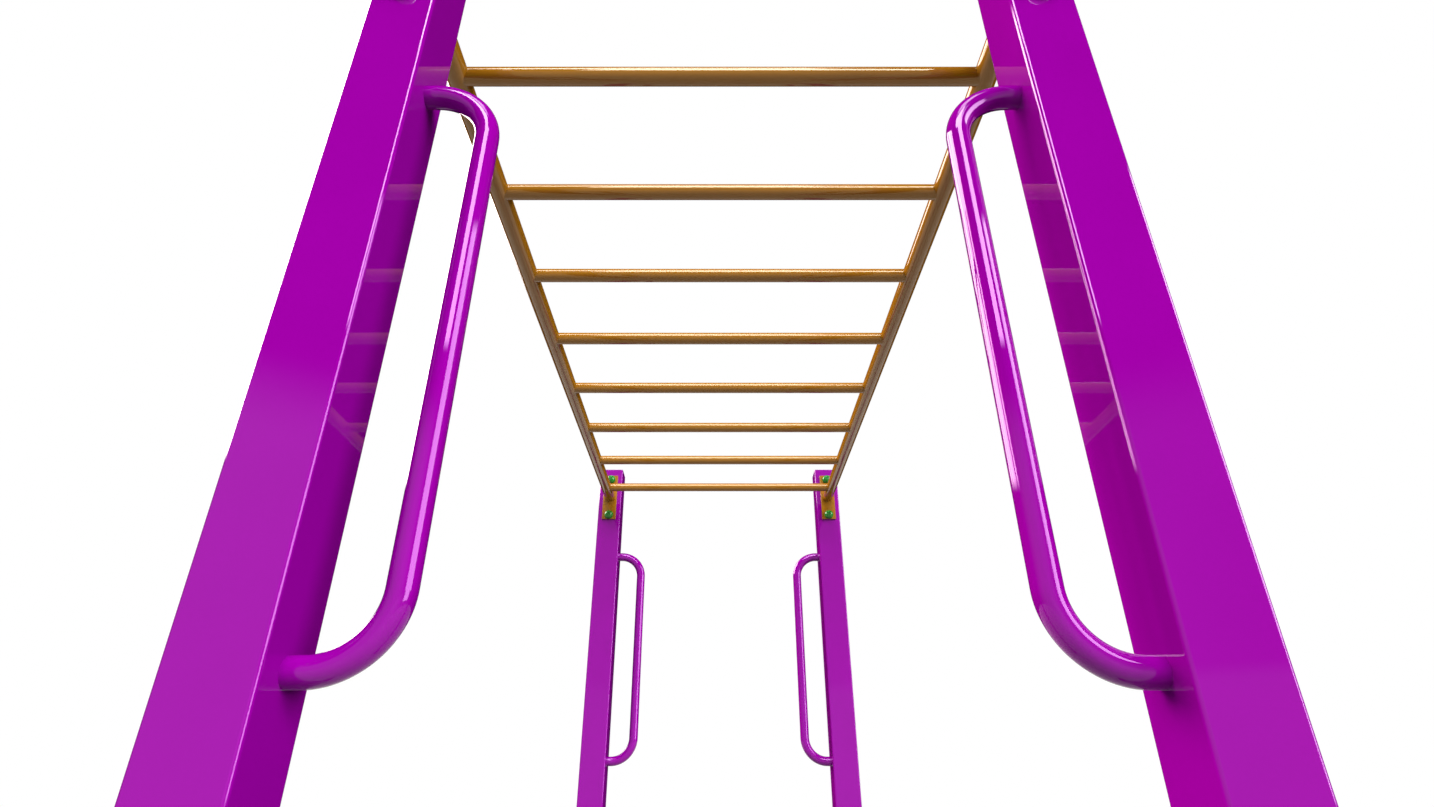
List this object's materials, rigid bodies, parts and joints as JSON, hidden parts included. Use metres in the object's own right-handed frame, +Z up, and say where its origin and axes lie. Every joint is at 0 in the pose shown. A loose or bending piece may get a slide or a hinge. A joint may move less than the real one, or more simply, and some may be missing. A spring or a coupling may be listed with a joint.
{
  "type": "monkey bars",
  "caption": "Overhead ladder of round rungs between two rails, bolted through end flanges to square corner posts that carry bent-tube grab handles.",
  "frame": {"origin": "on the ground, under the middle of the ladder", "axes": "+X to the right across the ladder, +Y along the ladder away from the end the picture is taken from, +Z up"},
  "size_m": [1.2016, 2.7526, 2.238],
  "materials": {
    "purple_coat": "high-gloss purple powder coat on steel",
    "ochre_coat": "glossy golden-ochre powder coat on steel",
    "zinc_steel": "bright zinc plate",
    "green_nylon": "moulded green nylon"
  },
  "bodies": {
    "root": {"base_plate_front_left": "purple_coat", "post_front_left": "purple_coat", "post_cap_front_left": "purple_coat", "grab_handle_front_left": "purple_coat", "flange_plate_front_left": "ochre_coat", "base_plate_front_right": "purple_coat", "post_front_right": "purple_coat", "post_cap_front_right": "purple_coat", "grab_handle_front_right": "purple_coat", "flange_plate_front_right": "ochre_coat", "base_plate_back_left": "purple_coat", "post_back_left": "purple_coat", "post_cap_back_left": "purple_coat", "grab_handle_back_left": "purple_coat", "flange_plate_back_left": "ochre_coat", "base_plate_back_right": "purple_coat", "post_back_right": "purple_coat", "post_cap_back_right": "purple_coat", "grab_handle_back_right": "purple_coat", "flange_plate_back_right": "ochre_coat", "ladder_rail_left": "ochre_coat", "ladder_rail_right": "ochre_coat", "rung_1": "ochre_coat", "rung_2": "ochre_coat", "rung_3": "ochre_coat", "rung_4": "ochre_coat", "rung_5": "ochre_coat", "rung_6": "ochre_coat", "rung_7": "ochre_coat", "rung_8": "ochre_coat", "flange_bolts": "zinc_steel", "lock_nuts": "zinc_steel", "bolt_washers": "zinc_steel", "bolt_sleeves": "zinc_steel", "bolt_cap_bases": "green_nylon", "bolt_cap_domes": "green_nylon"}
  },
  "joints": []
}
